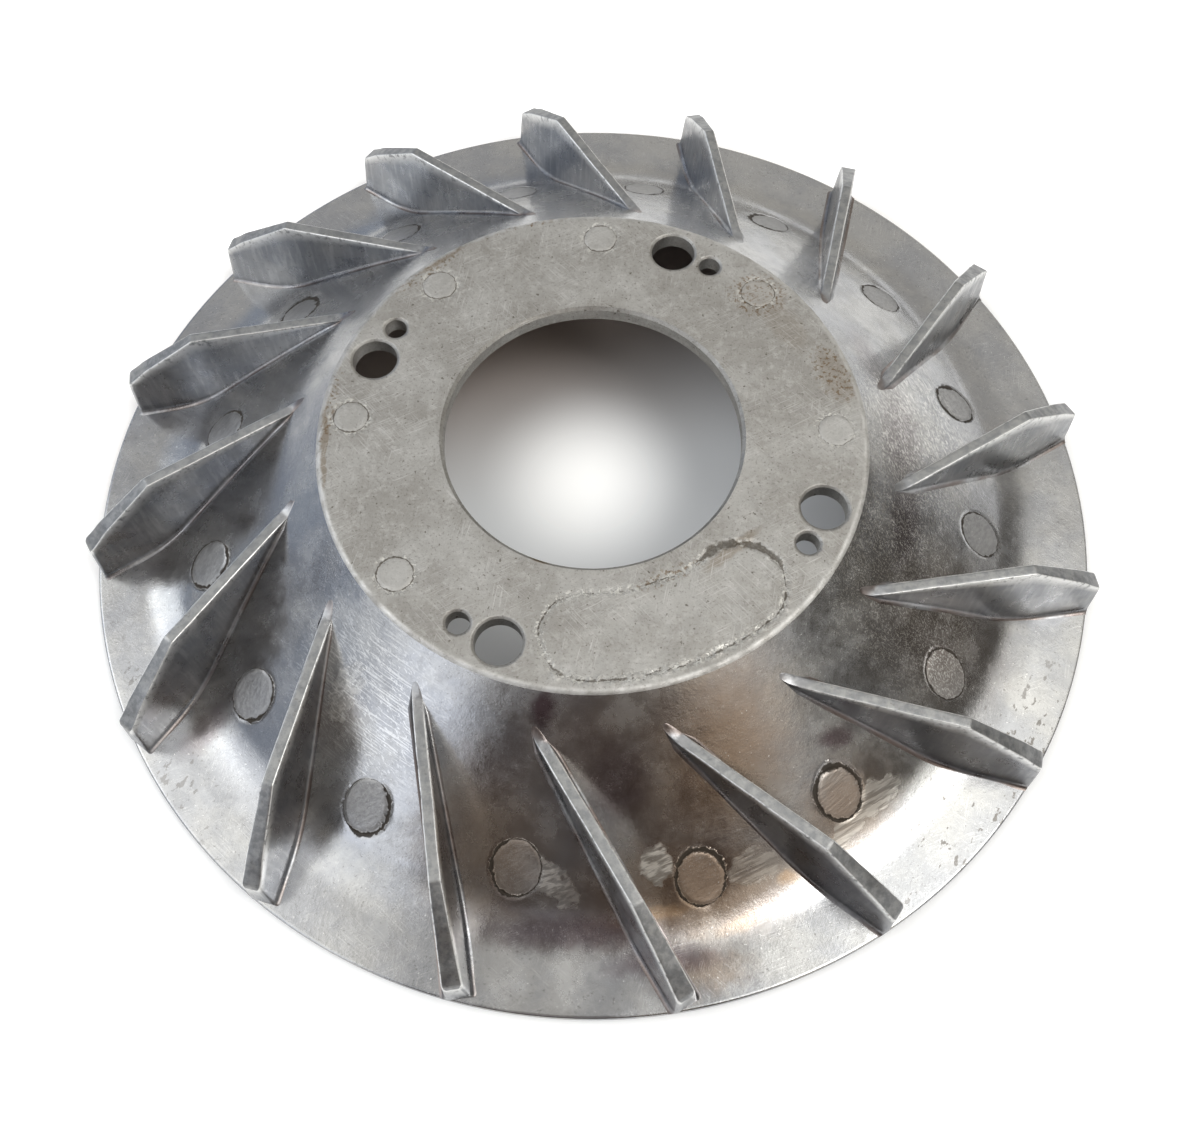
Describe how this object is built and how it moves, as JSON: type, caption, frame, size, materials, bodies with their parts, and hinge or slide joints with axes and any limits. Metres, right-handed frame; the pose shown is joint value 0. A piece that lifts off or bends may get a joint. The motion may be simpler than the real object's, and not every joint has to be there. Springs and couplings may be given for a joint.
{
  "type": "flywheel fan wheel",
  "caption": "Die-cast cooling-fan wheel that bolts to an engine flywheel: flat ring hub with bolt and pin holes, conical skirt, thin rim and straight swept blades, hollow underneath.",
  "frame": {"origin": "on the shaft axis, in the plane of the rim's underside, which the wheel rests on", "axes": "+Z along the shaft axis, from the rim up to the hub face; X and Y lie in the rim plane"},
  "size_m": [0.2, 0.2, 0.0282],
  "materials": {
    "hub_face": "matt as-cast grey, lightly scratched",
    "skirt_skin": "bright as-cast skin with stains",
    "blade_skin": "satin as-cast skin, worn edges",
    "pad_face": "rough ground ejector marks"
  },
  "bodies": {
    "root": {"hub_plate": "hub_face", "cone_skirt": "skirt_skin", "rim_band": "skirt_skin", "blade_01": "blade_skin", "blade_02": "blade_skin", "blade_03": "blade_skin", "blade_04": "blade_skin", "blade_05": "blade_skin", "blade_06": "blade_skin", "blade_07": "blade_skin", "blade_08": "blade_skin", "blade_09": "blade_skin", "blade_10": "blade_skin", "blade_11": "blade_skin", "blade_12": "blade_skin", "blade_13": "blade_skin", "blade_14": "blade_skin", "blade_15": "blade_skin", "blade_16": "blade_skin", "skirt_ejector_pads": "pad_face", "hub_ejector_pads": "pad_face", "gate_pad": "hub_face"}
  },
  "joints": []
}
